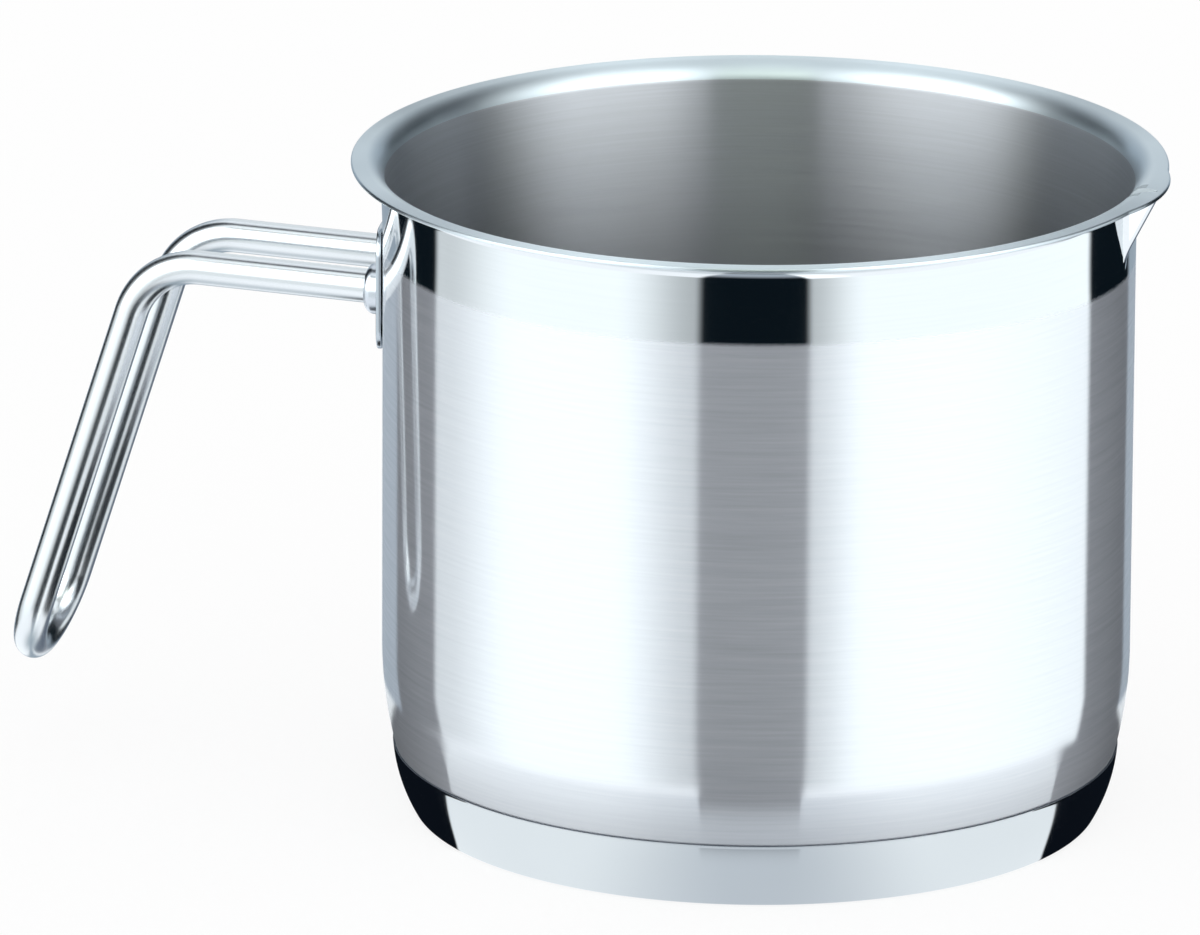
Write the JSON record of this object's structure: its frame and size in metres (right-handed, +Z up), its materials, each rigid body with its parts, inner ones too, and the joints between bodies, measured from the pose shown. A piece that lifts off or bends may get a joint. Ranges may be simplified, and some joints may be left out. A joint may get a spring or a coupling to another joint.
{
  "type": "milk pan",
  "caption": "Tall round saucepan for heating milk, with a flared lip, a small pouring beak, a capsule base that spreads heat and a drooping handle of bent rod.",
  "frame": {"origin": "on the pan's axis, in the plane of the flat underside that it stands on", "axes": "+Z up along the pan's axis, +X towards the pouring beak, -X towards the handle"},
  "size_m": [0.2249, 0.154, 0.1266],
  "materials": {
    "brushed_sheet": "brushed round the axis below a polished band under the lip",
    "core_metal": "satin",
    "polished_sheet": "mirror polished stainless steel",
    "polished_bracket": "mirror polished stainless steel",
    "polished_rod": "mirror polished stainless steel",
    "polished_collar": "mirror polished stainless steel"
  },
  "bodies": {
    "root": {"pan_body": "brushed_sheet", "base_core": "core_metal", "base_cap": "polished_sheet", "handle_bracket": "polished_bracket", "handle_rod": "polished_rod", "handle_collar_near": "polished_collar", "handle_collar_far": "polished_collar"}
  },
  "joints": []
}
